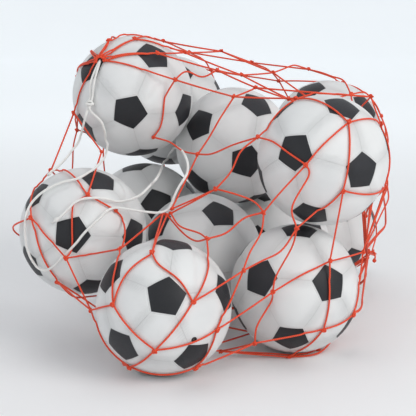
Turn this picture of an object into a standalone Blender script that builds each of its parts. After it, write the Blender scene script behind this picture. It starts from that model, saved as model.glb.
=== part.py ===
"""Knotted mesh carry bag lying on the floor, holding thirteen moulded rubber balls.

Metres, +Z up, floor at z = 0. The bag's open mouth is at the front left and
its closed end at the right. Every ball is a hollow casing with a valve, and
spins about the upright axis through its own centre. The net is made row by
row, as nets are knotted: each row is one closed zigzag cord that hooks into
the tips of the row before it.
"""

import math

import bmesh
import bpy
import numpy as np
from mathutils import Matrix, Vector

# ---- Balls -----------------------------------------------------------------
BALL_R = 0.1095  # a full-size ball, 0.688 m round
WALL = 0.0026
VALVE_R = 0.0040
VALVE_GAP = 0.0003
VALVE_LENGTH = 0.0085
NEEDLE_R = 0.0011

# centre (x, y, z) of each ball, and the azimuth and elevation of its valve
BALLS = {
    "a": ((-0.146, 0.028, 0.412), 110, 20),
    "b": ((-0.085, 0.266, 0.358), 100, 35),
    "c": ((0.040, 0.091, 0.312), 80, 30),
    "d": ((0.183, -0.190, 0.328), 35, 10),
    "e": ((0.226, 0.209, 0.314), 60, 15),
    "f": ((-0.224, -0.144, 0.197), 150, 0),
    "g": ((-0.130, 0.146, 0.159), 130, 5),
    "h": ((-0.021, -0.043, 0.134), 90, -20),
    "i": ((-0.080, -0.314, 0.108), -62, -14),
    "j": ((0.139, -0.194, 0.108), 20, -25),
    "k": ((0.229, 0.316, 0.108), 70, 0),
    "l": ((0.119, 0.126, 0.108), 120, 10),
    "m": ((0.003, 0.313, 0.108), 100, 30),
}

# ---- Net -------------------------------------------------------------------
COLUMNS = 13  # meshes round the bag
ROWS = 9  # rows of mesh from the mouth to the closed end
BAR = 0.121  # cord between two knots, drawn tight
STEPS = 4  # straight lengths that one bar is drawn in
END_BAR = 0.235  # the last row's loops are drawn long into the closing tie
END_STEPS = 7
PAIR_APART = 0.0038  # two cords that run side by side into the closing tie
CORD_R = 0.0015
CORD_LIFT = 0.0028  # cord centre line above a ball, at the drawn points
END_LIFT = 0.0065  # the closing loops lie over the other cords
TIP_SET_BACK = 0.0021  # each row's tips stop this far short of the knot
CLOSED_END = Vector((0.284, 0.002, 0.126))
CLOSED_END_R = 0.0105
BACK_FROM = 0.10  # y behind which the net is stretched round the whole heap
HULL_FACES = 500  # flat sides of the many-sided shape that stands in for the heap

# ---- Drawstring --------------------------------------------------------------
STRING_R = 0.0021
STRING_LIFT = 0.0067  # it lies over the net
STRAND_APART = 0.0048
KNOT_R = 0.0050
KNOT_WALL = 0.0020
KNOT_LENGTH = 0.0090
GATHER_R = 0.0080
FOLD_HALF = 0.0044  # half the width of the drawstring's fold in the upper gather

# ---- Front elevation ---------------------------------------------------------
# The knots that show from the front are set out on an elevation drawn as seen
# from EYE, which looks along +Y and EYE_DOWN degrees down. Millimetres to the
# right and up, on the plane that is PLANE_AWAY in front of EYE.
EYE = Vector((-0.009, -2.338, 0.664))
EYE_DOWN = 11.0
PLANE_AWAY = 2.443

# (row, half column): (right, up)
FRONT_KNOTS = {
    (1, 6): (-96, 291), (1, 4): (-62, 241), (1, 2): (-19, 101), (1, 0): (15, 36),
    (1, -2): (-2, -58), (1, -4): (-105, -85), (1, -6): (-165, -77), (1, -8): (-226, 24),
    (1, -10): (-252, 179), (1, 10): (-186, 313), (1, 8): (-138, 318), (2, 7): (-44, 292),
    (2, 5): (17, 259), (2, 3): (49, 209), (2, 1): (94, 133), (2, -1): (105, -8),
    (2, -3): (-28, -177), (2, -5): (-179, -182), (2, -7): (-267, -94), (2, -9): (-295, 71),
    (3, 4): (90, 226), (3, 2): (165, 205), (3, 0): (184, 81), (3, -2): (66, -118),
    (3, -4): (-100, -269), (3, -6): (-220, -192), (3, -8): (-327, -19),
    (4, 3): (306, 209), (4, 1): (265, 162), (4, -1): (167, -38), (4, -3): (17, -229),
    (4, -5): (-147, -299), (4, -7): (-282, -137),
    (5, 2): (325, 158), (5, 0): (254, 32), (5, -2): (122, -158), (5, -4): (-24, -301),
    (6, 1): (333, 38), (6, -1): (229, -100), (6, -3): (88, -254),
    (7, 0): (291, -83), (7, -2): (218, -229), (7, -4): (23, -269),
    (8, -1): (273, -201),
}
FLOOR_KNOTS = {(8, -3): (0.126, -0.2435)}  # x and y of a knot that lies on the floor
# mouth loops that hang on the drawstring one by one
MOUTH_KNOTS = {3: (-102, 133), -7: (-173, -4)}
# mouth loops bunched on the drawstring: the gather, then the angle of each
UPPER_GATHER = (-203, 277)
UPPER_FAN = {-11: 190, 13: 155, 11: 120, 9: 85, 7: 45, 5: 5}
LOWER_GATHER = (-77, -4)
LOWER_GATHER_Y = -0.213
LOWER_FAN = {-5: 215, -3: 270, -1: 320, 1: 15}
SIDE_LOOP = (-200, 106)
SIDE_LOOP_Y = -0.128

STRING_KNOT = (-222, 196)
# the drawstring beyond the knot: right, up, and y where it hangs in the air
STRING_TAIL = [(-229, 143, None), (-278, 80, -0.098), (-300, 62, None)]
STRING_RUN = [
    (-202, 164, None), (-194, 145, None), (-189, 124, None), (-194, 96, -0.138),
    (-215, 72, None), (-243, 56, None), (-278, 47, None), (-318, 24, None),
    (-338, -4, None), (-344, -45, None), (-337, -85, None), (-318, -114, None),
    (-297, -114, None), (-271, -90, None), (-246, -64, None), (-231, -45, None),
    (-203, -19, None), (-177, 0, None), (-109, -8, -0.223),
    (-77, -4, -0.221), (-58, 34, -0.226), (-38, 70, -0.210), (-44, 100, -0.183),
    (-60, 113, None), (-80, 91, None), (-94, 60, -0.168), (-109, 42, -0.198),
    (-133, 21, -0.223), (-171, 12, None), (-212, 19, None), (-246, 13, None),
    (-271, -11, None), (-290, -26, None),
]

BLACK = (0.018, 0.018, 0.020)
OFF_WHITE = (0.780, 0.780, 0.760)
ORANGE = (0.830, 0.085, 0.040)
CREAM = (0.800, 0.790, 0.750)


# ---- Scene and materials -----------------------------------------------------
def clear_scene():
    for obj in list(bpy.data.objects):
        bpy.data.objects.remove(obj, do_unlink=True)


def material(name, colour, roughness):
    made = bpy.data.materials.new(name)
    made.use_nodes = True
    shader = made.node_tree.nodes["Principled BSDF"]
    shader.inputs["Base Color"].default_value = (*colour, 1.0)
    shader.inputs["Roughness"].default_value = roughness
    shader.inputs["Metallic"].default_value = 0.0
    return made


def link(name, mesh, made_of, location=(0, 0, 0), parent=None):
    obj = bpy.data.objects.new(name, mesh)
    if not mesh.materials:
        mesh.materials.append(made_of)
    bpy.context.scene.collection.objects.link(obj)
    obj.location = location
    obj.parent = parent
    return obj


# ---- Balls -----------------------------------------------------------------
def direction(azimuth, elevation):
    a, e = math.radians(azimuth), math.radians(elevation)
    return Vector((math.cos(e) * math.cos(a), math.cos(e) * math.sin(a), math.sin(e)))


def turn_x_to(way):
    return Vector((1, 0, 0)).rotation_difference(way).to_matrix().to_4x4()


def casing_mesh(turn):
    """A hollow sphere, pierced for its valve along the turned X axis."""
    cutter_mesh = bpy.data.meshes.new("valve_hole_cutter")
    bm = bmesh.new()
    bmesh.ops.create_cone(
        bm,
        cap_ends=True,
        segments=10,
        radius1=VALVE_R + VALVE_GAP,
        radius2=VALVE_R + VALVE_GAP,
        depth=0.03,
        matrix=turn @ Matrix.Translation((BALL_R, 0, 0)) @ Matrix.Rotation(math.pi / 2, 4, "Y"),
    )
    bm.to_mesh(cutter_mesh)
    bm.clear()
    bmesh.ops.create_icosphere(bm, subdivisions=3, radius=BALL_R)
    inner = bmesh.ops.create_icosphere(bm, subdivisions=3, radius=BALL_R - WALL)
    faces = {face for vert in inner["verts"] for face in vert.link_faces}
    bmesh.ops.reverse_faces(bm, faces=list(faces))
    blank_mesh = bpy.data.meshes.new("casing")
    bm.to_mesh(blank_mesh)
    bm.free()
    blank = bpy.data.objects.new("casing_blank", blank_mesh)
    cutter = bpy.data.objects.new("valve_hole_cutter", cutter_mesh)
    for obj in (blank, cutter):
        bpy.context.scene.collection.objects.link(obj)
    cut = blank.modifiers.new("valve_hole", "BOOLEAN")
    cut.operation = "DIFFERENCE"
    cut.object = cutter
    graph = bpy.context.evaluated_depsgraph_get()
    pierced = bpy.data.meshes.new_from_object(blank.evaluated_get(graph))
    for obj in (blank, cutter):
        bpy.data.objects.remove(obj, do_unlink=True)
    return pierced


def valve_mesh():
    """A rubber plug along +X with a blind needle hole in its outer end."""
    mesh = bpy.data.meshes.new("valve")
    outer, inner = BALL_R - 0.0012, BALL_R - 0.0012 - VALVE_LENGTH
    floor = outer - 0.005
    profile = [
        (inner, 0.0),
        (inner, VALVE_R - 0.0008),
        (inner + 0.0008, VALVE_R),
        (outer, VALVE_R),
        (outer, NEEDLE_R),
        (floor, NEEDLE_R),
        (floor, 0.0),
    ]
    bm = bmesh.new()
    turns = 8
    rings = []
    for x, r in profile:
        if r == 0.0:
            rings.append([bm.verts.new((x, 0, 0))])
            continue
        rings.append(
            [
                bm.verts.new((x, r * math.cos(a), r * math.sin(a)))
                for a in (2 * math.pi * k / turns for k in range(turns))
            ]
        )
    for before, after in zip(rings, rings[1:]):
        for k in range(turns):
            n = (k + 1) % turns
            if len(before) == 1:
                bm.faces.new((before[0], after[n], after[k]))
            elif len(after) == 1:
                bm.faces.new((before[k], before[n], after[0]))
            else:
                bm.faces.new((before[k], before[n], after[n], after[k]))
    bmesh.ops.recalc_face_normals(bm, faces=bm.faces[:])
    bm.to_mesh(mesh)
    bm.free()
    return mesh


def flatten_foot(mesh, height):
    """Cuts a mesh level at this height and closes the cut with a flat face."""
    bm = bmesh.new()
    bm.from_mesh(mesh)
    cut = bmesh.ops.bisect_plane(
        bm,
        geom=bm.verts[:] + bm.edges[:] + bm.faces[:],
        plane_co=(0, 0, height),
        plane_no=(0, 0, -1),
        clear_outer=True,
    )
    edges = [item for item in cut["geom_cut"] if isinstance(item, bmesh.types.BMEdge)]
    bmesh.ops.holes_fill(bm, edges=edges, sides=0)
    bmesh.ops.recalc_face_normals(bm, faces=bm.faces[:])
    bm.to_mesh(mesh)
    bm.free()


def make_balls(rubber, black):
    valve = valve_mesh()
    for name, (centre, azimuth, elevation) in BALLS.items():
        axis = bpy.data.objects.new(f"ball_{name}_axis", None)
        bpy.context.scene.collection.objects.link(axis)
        axis.location = centre
        turn = turn_x_to(direction(azimuth, elevation))
        own = casing_mesh(turn)
        if centre[2] < BALL_R:
            flatten_foot(own, -centre[2])
        for polygon in own.polygons:
            polygon.use_smooth = True
        own.set_sharp_from_angle(angle=math.radians(40))
        link(f"ball_{name}_casing", own, rubber, parent=axis)
        plug = valve.copy()
        plug.transform(turn)
        link(f"ball_{name}_valve", plug, black, parent=axis)


# ---- Elevation -------------------------------------------------------------
TILT = math.radians(EYE_DOWN)
LOOK = Vector((0, math.cos(TILT), -math.sin(TILT)))
UP = Vector((0, math.sin(TILT), math.cos(TILT)))
RIGHT = Vector((1, 0, 0))


def sight(right, up):
    """The direction from EYE to a point of the front elevation."""
    return (LOOK * PLANE_AWAY + RIGHT * (right / 1000) + UP * (up / 1000)).normalized()


def first_touch(way, lift):
    """How far along this sight line the first ball is, or None."""
    nearest = None
    for centre, _, _ in BALLS.values():
        to_ball = Vector(centre) - EYE
        along = to_ball.dot(way)
        aside = to_ball.length_squared - along * along
        reach = (BALL_R + lift) ** 2
        if aside < reach:
            far = along - math.sqrt(reach - aside)
            nearest = far if nearest is None else min(nearest, far)
    return nearest


def on_elevation(right, up, lift, y=None):
    """A point of the elevation, set on the first ball behind it or at this y."""
    way = sight(right, up)
    if y is not None:
        return EYE + way * ((y - EYE.y) / way.y)
    far = first_touch(way, lift)
    if far is None:
        # just past a ball's edge: beside the ball that is nearest to the line
        far = min(
            ((Vector(c) - EYE - way * (Vector(c) - EYE).dot(way)).length, (Vector(c) - EYE).dot(way))
            for c, _, _ in BALLS.values()
        )[1]
    return EYE + way * far


def fan(centre, angle, radius):
    a = math.radians(angle)
    return centre + RIGHT * (radius * math.cos(a)) + UP * (radius * math.sin(a))


# ---- Net -------------------------------------------------------------------
def half_columns(row):
    """Half-column numbers of this row's knots, once round the bag from the back."""
    first = -COLUMNS if row % 2 == 0 else -COLUMNS + 1
    return [wrapped(first + 2 * k) for k in range(COLUMNS)]


def wrapped(column):
    """The half column's number between -COLUMNS + 1 and COLUMNS."""
    return (column + COLUMNS - 1) % (2 * COLUMNS) - COLUMNS + 1


def rough_place(row, column):
    """Where a knot starts: on an egg round all the balls, mouth to closed end."""
    axis = Vector((0.88, 0.08, -0.42)).normalized()
    front = (Vector((0.25, -1.0, 0.1)) - axis * Vector((0.25, -1.0, 0.1)).dot(axis)).normalized()
    above = front.cross(axis)
    if above.z < 0:
        above = -above
    polar = math.radians(20 + 150 * row / ROWS)
    round_ = math.pi * column / COLUMNS
    way = (
        axis * -math.cos(polar)
        + (front * math.cos(round_) + above * math.sin(round_)) * math.sin(polar)
    )
    centre = Vector((0.0, 0.0, 0.25))
    return centre + Vector((way.x * 0.50, way.y * 0.62, way.z * 0.46))


def even_directions(count):
    """Unit vectors spread evenly over a sphere."""
    k = np.arange(count) + 0.5
    z = 1 - 2 * k / count
    turn = math.pi * (1 + math.sqrt(5)) * k
    flat = np.sqrt(1 - z * z)
    return np.stack([flat * np.cos(turn), flat * np.sin(turn), z], axis=1)


class Net:
    """Knots and the points along their bars, drawn tight over the balls."""

    def __init__(self):
        self.index = {}
        points = []
        for row in range(ROWS + 1):
            for column in half_columns(row):
                self.index[row, column] = len(points)
                points.append(rough_place(row, column))
        self.bars = {}
        for row in range(ROWS):
            for column in half_columns(row):
                for side in (-1, 1):
                    start = self.index[row, column]
                    end = self.index[row + 1, wrapped(column + side)]
                    chain = [start]
                    steps = END_STEPS if row == ROWS - 1 else STEPS
                    for k in range(1, steps):
                        chain.append(len(points))
                        points.append(rough_place(row + k / steps, column + side * k / steps))
                    chain.append(end)
                    self.bars[row, column, side] = chain
        self.points = np.array([tuple(p) for p in points])
        self.held = {}
        self.sights = {}
        rough = self.points.copy()
        self.pin()
        for chain in self.bars.values():
            moved = self.points[[chain[0], chain[-1]]] - rough[[chain[0], chain[-1]]]
            for k, index in enumerate(chain[1:-1], 1):
                share = k / (len(chain) - 1)
                self.points[index] += (1 - share) * moved[0] + share * moved[1]

    def pin(self):
        for key, (right, up) in FRONT_KNOTS.items():
            way = sight(right, up)
            touch = first_touch(way, CORD_LIFT)
            self.sights[self.index[key]] = (np.array(way), touch)
            self.points[self.index[key]] = on_elevation(right, up, CORD_LIFT)
        for key, (x, y) in FLOOR_KNOTS.items():
            self.held[self.index[key]] = Vector((x, y, CORD_R + 0.0006))
        for column, (right, up) in MOUTH_KNOTS.items():
            self.held[self.index[0, wrapped(column)]] = on_elevation(right, up, CORD_LIFT)
        upper = on_elevation(*UPPER_GATHER, STRING_LIFT)
        for column, angle in UPPER_FAN.items():
            self.held[self.index[0, wrapped(column)]] = fan(upper, angle, GATHER_R)
        lower = on_elevation(*LOWER_GATHER, STRING_LIFT, LOWER_GATHER_Y)
        for column, angle in LOWER_FAN.items():
            self.held[self.index[0, wrapped(column)]] = fan(lower, angle, GATHER_R)
        self.held[self.index[0, wrapped(-9)]] = on_elevation(*SIDE_LOOP, STRING_LIFT, SIDE_LOOP_Y)
        for k, column in enumerate(half_columns(ROWS)):
            self.held[self.index[ROWS, column]] = closed_end_point(column)
        for index, place in self.held.items():
            self.points[index] = place

    def tighten(self, rounds=900):
        """Shortens the cords where they can, and keeps them off balls and floor."""
        pairs = np.array([pair for c in self.bars.values() for pair in zip(c, c[1:])])
        a, b = pairs[:, 0], pairs[:, 1]
        longest = np.array(
            [
                END_BAR / END_STEPS if key[0] == ROWS - 1 else BAR / STEPS
                for key, c in self.bars.items()
                for _ in c[1:]
            ]
        )
        balls = np.array([centre for centre, _, _ in BALLS.values()])
        count = len(self.points)
        degree = np.bincount(pairs.ravel(), minlength=count).astype(float)
        held = np.array(list(self.held))
        held_at = np.array([tuple(p) for p in self.held.values()])
        seen = np.array(list(self.sights))
        ways = np.array([way for way, _ in self.sights.values()])
        limits = np.array([np.inf if t is None else t for _, t in self.sights.values()])
        eye = np.array(EYE)
        p = self.points
        lift = np.full(count, CORD_LIFT)
        for key, chain in self.bars.items():
            if key[0] == ROWS - 1:
                lift[chain[1:-1]] = END_LIFT
        faces = even_directions(HULL_FACES)
        heights = (balls @ faces.T).max(axis=0) + BALL_R + CORD_LIFT
        heights = np.where(faces[:, 2] < -0.99, -CORD_R, heights)
        for turn in range(rounds):
            drawn = np.zeros_like(p)
            np.add.at(drawn, a, p[b])
            np.add.at(drawn, b, p[a])
            p = p + 0.45 * (drawn / degree[:, None] - p)
            p[:, 2] -= 0.00008
            for _ in range(4):
                apart = p[b] - p[a]
                length = np.linalg.norm(apart, axis=1)
                over = np.maximum(length - longest, 0) / length
                move = 0.5 * over[:, None] * apart
                shift = np.zeros_like(p)
                np.add.at(shift, a, move)
                np.add.at(shift, b, -move)
                p = p + shift / np.maximum(degree, 1)[:, None] * 1.6
                self.keep_off(p, balls, lift)
                self.keep_round(p, faces, heights)
                along = np.minimum(((p[seen] - eye) * ways).sum(1), limits)
                p[seen] = eye + along[:, None] * ways
                p[held] = held_at
            if turn > rounds - 150:
                self.lift_chords(p, a, b, balls, held)
                self.part_loops(p)
                self.part_pairs(p)
        self.points = p

    @staticmethod
    def keep_round(p, faces, heights):
        """Keeps the net's back stretched round the heap: none slips in behind a ball."""
        back = np.flatnonzero(p[:, 1] > BACK_FROM)
        deep = p[back] @ faces.T - heights
        nearest = deep.argmax(axis=1)
        depth = np.minimum(deep[np.arange(len(back)), nearest], 0)
        p[back] -= faces[nearest] * depth[:, None]

    def part_loops(self, p):
        """Moves the closing loops aside where they touch the row before them."""
        loops = [c for key, c in self.bars.items() if key[0] == ROWS - 1]
        before = np.array(
            [
                (c, d, bar[-1])
                for key, bar in self.bars.items()
                if key[0] == ROWS - 2
                for c, d in zip(bar, bar[1:])
            ]
        )
        clear = 2 * CORD_R + 0.0009
        for loop in loops:
            others = before[before[:, 2] != loop[0]]
            starts, ends = others[:, 0], others[:, 1]
            for a, b in zip(loop[:-1], loop[1:]):
                aparts = nearest_apart(p[a], p[b], p[starts], p[ends])
                gaps = np.linalg.norm(aparts, axis=1)
                k = int(gaps.argmin())
                if not 1e-6 < gaps[k] < clear:
                    continue
                push = aparts[k] / gaps[k] * (clear - gaps[k]) * 0.6
                for end in (a, b):
                    if end != loop[0] and end not in self.held:
                        p[end] += push

    def part_pairs(self, p):
        """Keeps the closing loops that share a knot or a last tip side by side."""
        for column in half_columns(ROWS - 1):
            here = self.bars[ROWS - 1, column, 1]
            from_knot = self.bars[ROWS - 1, column, -1]
            to_tip = self.bars[ROWS - 1, wrapped(column + 2), -1]
            for other in (from_knot, to_tip):
                for k in range(1, END_STEPS):
                    apart = p[here[k]] - p[other[k]]
                    gap = max(np.linalg.norm(apart), 1e-6)
                    if gap < PAIR_APART:
                        push = apart / gap * (PAIR_APART - gap) / 2
                        p[here[k]] += push
                        p[other[k]] -= push

    @staticmethod
    def lift_chords(p, a, b, balls, held):
        """Moves both ends of a straight length out where its middle cuts a ball."""
        moving = np.ones(len(p), bool)
        moving[held] = False
        for ball in balls:
            along = p[b] - p[a]
            share = ((ball - p[a]) * along).sum(1) / (along**2).sum(1)
            near = p[a] + np.clip(share, 0, 1)[:, None] * along
            away = near - ball
            far = np.linalg.norm(away, axis=1)
            short = BALL_R + CORD_R + 0.0005 - far
            for k in np.flatnonzero(short > 0):
                push = away[k] / far[k] * short[k] * 1.1
                if near[k, 2] < 0.02 or p[a[k], 2] < 0.004 or p[b[k], 2] < 0.004:
                    # under a ball there is no room below, so it moves level
                    level = math.hypot(away[k, 0], away[k, 1])
                    wanted = math.sqrt((far[k] + short[k]) ** 2 - away[k, 2] ** 2)
                    push = away[k] * (min(wanted / level - 1, 0.5) * 0.6)
                    push[2] = 0
                for end in (a[k], b[k]):
                    if moving[end]:
                        p[end] += push
        p[:, 2] = np.maximum(p[:, 2], CORD_R + 0.0006)

    @staticmethod
    def keep_off(p, balls, lift):
        reach_of = BALL_R + lift
        for ball in balls:
            away = p - ball
            far = np.linalg.norm(away, axis=1)
            near = far < reach_of
            p[near] = ball + away[near] * (reach_of[near] / far[near])[:, None]
        p[:, 2] = np.maximum(p[:, 2], CORD_R + 0.0006)
        for ball in balls:
            # round the foot of a ball, a cord on the floor moves level
            level = p[:, :2] - ball[:2]
            rise = np.abs(p[:, 2] - ball[2])
            need = np.sqrt(np.maximum(reach_of**2 - rise**2, 0))
            reach = np.maximum(np.linalg.norm(level, axis=1), 1e-6)
            low = (reach < need - 1e-7) & (p[:, 2] < 0.012)
            p[low, :2] = ball[:2] + level[low] * (need[low] / reach[low])[:, None]

    def tips(self, row, column):
        """A knot's two tips: of the row before it, and of the row after it."""
        knot = self.points[self.index[row, column]]
        lead = np.zeros(3)
        for side in (-1, 1):
            if row < ROWS:
                lead += self.points[self.bars[row, column, side][1]] - knot
            if row > 0:
                before = self.bars[row - 1, wrapped(column - side), side]
                lead -= self.points[before[-2]] - knot
        lead /= max(np.linalg.norm(lead), 1e-9)
        if row == 0 or row == ROWS:
            return knot, knot
        return knot - lead * TIP_SET_BACK, knot + lead * TIP_SET_BACK

    def row_cord(self, row):
        """The closed zigzag of the cord between two rows of knots."""
        path = []
        for column in half_columns(row):
            path.append(self.tips(row, column)[1])
            path += [self.points[i] for i in self.bars[row, column, 1][1:-1]]
            after = wrapped(column + 1)
            path.append(self.tips(row + 1, after)[0])
            back = self.bars[row, wrapped(column + 2), -1]
            path += [self.points[i] for i in back[-2:0:-1]]
        return [(x, y, max(z, CORD_R + 0.0003)) for x, y, z in path]


def closed_end_point(column):
    out = Vector((0.93, 0.0, 0.36)).normalized()
    side = Vector((0, -1, 0))
    above = out.cross(side) * -1
    if above.z < 0:
        above = -above
    a = math.pi * column / COLUMNS
    return CLOSED_END + (side * math.cos(a) + above * math.sin(a)) * CLOSED_END_R


# ---- Cords -----------------------------------------------------------------
def tube(name, path, radius, sides, made_of, closed=False):
    """A cord of this radius along a path, as one closed mesh."""
    points = [Vector(p) for p in path]
    count = len(points)
    tangents = []
    for k in range(count):
        before = points[k - 1] if closed or k > 0 else points[k]
        after = points[(k + 1) % count] if closed or k < count - 1 else points[k]
        into = (points[k] - before).normalized()
        out = (after - points[k]).normalized()
        bend = into + out
        tangents.append((bend if bend.length > 1e-4 else into.orthogonal()).normalized())
    normal = tangents[0].orthogonal().normalized()
    normals = [normal]
    for k in range(1, count):
        normal = tangents[k - 1].rotation_difference(tangents[k]) @ normal
        normal = (normal - tangents[k] * normal.dot(tangents[k])).normalized()
        normals.append(normal)
    slip = 0.0
    if closed:
        last = tangents[-1].rotation_difference(tangents[0]) @ normals[-1]
        across = tangents[0].cross(normals[0])
        slip = math.atan2(last.dot(across), last.dot(normals[0]))
    mesh = bpy.data.meshes.new(name)
    bm = bmesh.new()
    rings = []
    for k in range(count):
        ring = []
        ease = -slip * k / count
        across = tangents[k].cross(normals[k])
        for s in range(sides):
            a = 2 * math.pi * s / sides + ease
            ring.append(
                bm.verts.new(points[k] + (normals[k] * math.cos(a) + across * math.sin(a)) * radius)
            )
        rings.append(ring)
    pairs = list(zip(rings, rings[1:]))
    if closed:
        pairs.append((rings[-1], rings[0]))
    for before, after in pairs:
        for s in range(sides):
            n = (s + 1) % sides
            bm.faces.new((before[s], before[n], after[n], after[s]))
    if not closed:
        bm.faces.new(rings[0][::-1])
        bm.faces.new(rings[-1])
    bmesh.ops.triangulate(bm, faces=[face for face in bm.faces if len(face.verts) == 4])
    bmesh.ops.recalc_face_normals(bm, faces=bm.faces[:])
    bm.to_mesh(mesh)
    bm.free()
    for polygon in mesh.polygons:
        polygon.use_smooth = len(polygon.vertices) < 5
    return link(name, mesh, made_of)


def bevelled_curve(name, path, radius, made_of):
    """A free cord: a curve through the points, with a round bevel and closed ends."""
    curve = bpy.data.curves.new(name, "CURVE")
    curve.dimensions = "3D"
    curve.bevel_depth = radius
    curve.bevel_resolution = 2
    curve.use_fill_caps = True
    spline = curve.splines.new("POLY")
    spline.points.add(len(path) - 1)
    for point, place in zip(spline.points, path):
        point.co = (*place, 1.0)
    curve.materials.append(made_of)
    obj = bpy.data.objects.new(name, curve)
    bpy.context.scene.collection.objects.link(obj)
    return obj


def make_net(cord):
    """Makes the row cords, and returns both ends of all their straight lengths."""
    net = Net()
    net.tighten()
    starts, ends = [], []
    for row in range(ROWS):
        path = [Vector(point) for point in net.row_cord(row)]
        tube(f"net_row_{row + 1:02d}", path, CORD_R, 3, cord, closed=True)
        starts += path
        ends += path[1:] + path[:1]
    return np.array([tuple(v) for v in starts]), np.array([tuple(v) for v in ends])


# ---- Drawstring --------------------------------------------------------------
def eased(path, spacing=0.0126):
    """A smooth curve through the points, sampled at an even spacing."""
    points = [Vector(p) for p in path]
    fine = []
    ends = [points[0] * 2 - points[1]] + points + [points[-1] * 2 - points[-2]]
    for p0, p1, p2, p3 in zip(ends, ends[1:], ends[2:], ends[3:]):
        for k in range(8):
            t = k / 8
            fine.append(
                0.5
                * (
                    2 * p1
                    + (p2 - p0) * t
                    + (2 * p0 - 5 * p1 + 4 * p2 - p3) * t * t
                    + (3 * p1 - p0 - 3 * p2 + p3) * t * t * t
                )
            )
    fine.append(points[-1])
    kept = [fine[0]]
    for point in fine[1:-1]:
        if (point - kept[-1]).length >= spacing:
            kept.append(point)
    kept.append(fine[-1])
    return kept


def clear_of_balls(path, lift):
    for point in path:
        for centre, _, _ in BALLS.values():
            away = point - Vector(centre)
            if away.length < BALL_R + lift:
                point[:] = Vector(centre) + away * ((BALL_R + lift) / away.length)
    return path


def nearest_apart(p1, q1, p2, q2):
    """The shortest way to one straight length from each of many others."""
    d1, d2, r = q1 - p1, q2 - p2, p1 - p2
    a, e = d1 @ d1, (d2**2).sum(1)
    b, c, f = d2 @ d1, r @ d1, (d2 * r).sum(1)
    denominator = np.maximum(a * e - b * b, 1e-15)
    s = np.clip((b * f - c * e) / denominator, 0, 1)
    t = np.clip((b * s + f) / e, 0, 1)
    s = np.clip((b * t - c) / a, 0, 1)
    return p1 + s[:, None] * d1 - p2 - t[:, None] * d2


def nearest_gap(p1, q1, p2, q2):
    return np.linalg.norm(nearest_apart(p1, q1, p2, q2), axis=1)


def over_the_net(path, net):
    """Brings the path forward wherever it would touch a cord of the net."""
    starts, ends = net
    need = STRING_R + CORD_R + 0.0005
    points = [np.array(point) for point in path]
    toward = -np.array(LOOK)
    for _ in range(60):
        clear = True
        for k in range(len(points) - 1):
            gap = nearest_gap(points[k], points[k + 1], starts, ends).min()
            if gap < need:
                clear = False
                points[k] = points[k] + toward * (need - gap + 0.0002)
                points[k + 1] = points[k + 1] + toward * (need - gap + 0.0002)
        if clear:
            break
    return [Vector(point) for point in points]


def make_drawstring(string, net):
    knot = on_elevation(*STRING_KNOT, STRING_LIFT + 0.001)
    top = on_elevation(*UPPER_GATHER, STRING_LIFT)
    along = (top - knot).normalized()
    out = (knot - Vector(BALLS["a"][0])).normalized()
    aside = along.cross(out).normalized()
    half = aside * (STRAND_APART / 2)
    grip = along * 0.010
    tail = [on_elevation(r, u, STRING_LIFT, y) for r, u, y in STRING_TAIL]
    run = [on_elevation(r, u, STRING_LIFT, y) for r, u, y in STRING_RUN]
    if (tail[0] - knot).dot(half) < 0:
        half = -half
    path = clear_of_balls(eased(tail[::-1])[:-1] + [knot + half - grip * 2.4], STRING_LIFT)
    path = over_the_net(path, net) + [knot + half - grip, knot + half + grip]
    side = half.normalized()
    fold = [
        (knot + top) / 2 + side * 0.0035,
        top - along * 0.003 + side * FOLD_HALF,
        top + along * 0.001 + side * FOLD_HALF * 0.7,
        top + along * 0.0026,
        top + along * 0.001 - side * FOLD_HALF * 0.7,
        top - along * 0.003 - side * FOLD_HALF,
        (knot + top) / 2 - side * 0.0035,
    ]
    path += clear_of_balls(fold, STRING_LIFT)
    path += [knot - half + grip, knot - half - grip]
    path += over_the_net(clear_of_balls(eased(run), STRING_LIFT), net)
    bevelled_curve("drawstring", path, STRING_R, string)
    ring = bpy.data.meshes.new("drawstring_knot")
    bm = bmesh.new()
    turns = 12
    rows = []
    for r, h in (
        (KNOT_R, -0.5), (KNOT_R + KNOT_WALL * 0.7, -0.5), (KNOT_R + KNOT_WALL, -0.2),
        (KNOT_R + KNOT_WALL, 0.2), (KNOT_R + KNOT_WALL * 0.7, 0.5), (KNOT_R, 0.5),
    ):
        rows.append(
            [
                bm.verts.new(
                    knot
                    + along * (h * KNOT_LENGTH)
                    + (side * math.cos(a) + out * math.sin(a)) * r
                )
                for a in (2 * math.pi * k / turns for k in range(turns))
            ]
        )
    for before, after in zip(rows, rows[1:] + rows[:1]):
        for k in range(turns):
            n = (k + 1) % turns
            bm.faces.new((before[k], before[n], after[n], after[k]))
    bmesh.ops.recalc_face_normals(bm, faces=bm.faces[:])
    bm.to_mesh(ring)
    bm.free()
    link("drawstring_knot", ring, string)


def make_closed_end(cord):
    out = Vector((0.93, 0.0, 0.36)).normalized()
    side = Vector((0, -1, 0))
    above = out.cross(side)
    turns = 12
    ring = [
        CLOSED_END + (side * math.cos(a) + above * math.sin(a)) * 0.0058
        for a in (2 * math.pi * k / turns for k in range(turns))
    ]
    tube("net_closing_tie", ring, CORD_R, 5, cord, closed=True)
    hang = [
        CLOSED_END + out * 0.004 + Vector((0.0, 0.0, -0.001)),
        CLOSED_END + out * 0.013 + Vector((0, 0, -0.004)),
        CLOSED_END + out * 0.017 + Vector((0, 0.001, -0.014)),
        CLOSED_END + out * 0.016 + Vector((0, 0.003, -0.026)),
    ]
    tube("net_tail", hang, CORD_R, 5, cord)


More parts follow.
